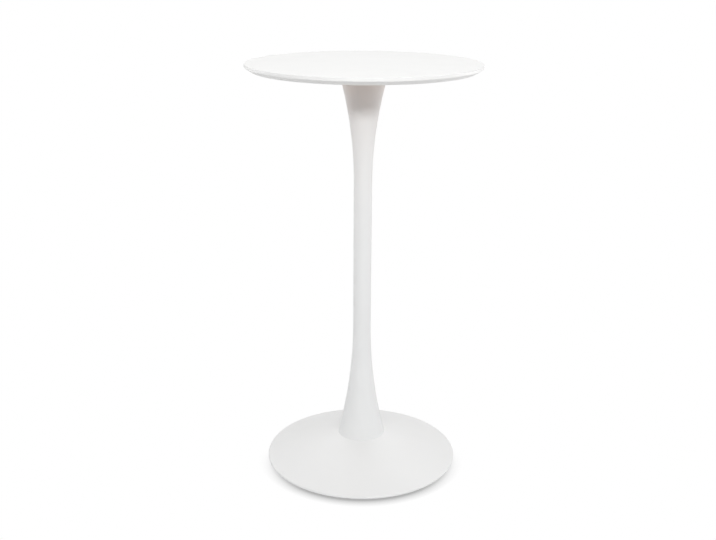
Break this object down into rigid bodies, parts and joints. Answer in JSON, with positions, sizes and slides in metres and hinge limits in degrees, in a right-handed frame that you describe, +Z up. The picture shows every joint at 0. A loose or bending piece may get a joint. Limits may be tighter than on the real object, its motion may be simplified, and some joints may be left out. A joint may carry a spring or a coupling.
{
  "type": "bar table",
  "caption": "Bar-height pedestal table: a round white top with a thin bevelled edge on a trumpet column and a low dished round foot.",
  "frame": {"origin": "on the floor, on the column's axis, at the centre of the floor ring's underside", "axes": "+Z up along the column's axis, from the foot to the tabletop; +X and +Y are level, half a pitch away from the bolts"},
  "size_m": [0.6, 0.6, 1.09],
  "materials": {
    "white_lacquer": "fibreboard under satin white lacquer",
    "white_powder_coat": "steel with a fine satin white powder coat",
    "bare_steel": "cold-rolled steel as cut and welded",
    "black_primer": "steel plate in matt black primer",
    "zinc_plate": "bright zinc plating",
    "yellow_zinc": "zinc plating, passivated yellow",
    "brass": "turned",
    "dark_rubber": "matt moulded"
  },
  "bodies": {
    "root": {"tabletop": "white_lacquer", "threaded_inserts": "brass", "top_plate": "yellow_zinc", "top_plate_washers": "zinc_plate", "top_plate_screws": "zinc_plate", "flange_screws": "zinc_plate", "head_flange": "bare_steel", "column_shell": "white_powder_coat", "foot_flange": "bare_steel", "base_cover": "white_powder_coat", "hub_plate": "bare_steel", "hub_tube": "bare_steel", "ballast_plate": "black_primer", "base_washers": "zinc_plate", "base_spring_washers": "zinc_plate", "base_bolts": "zinc_plate", "floor_ring": "dark_rubber"}
  },
  "joints": []
}
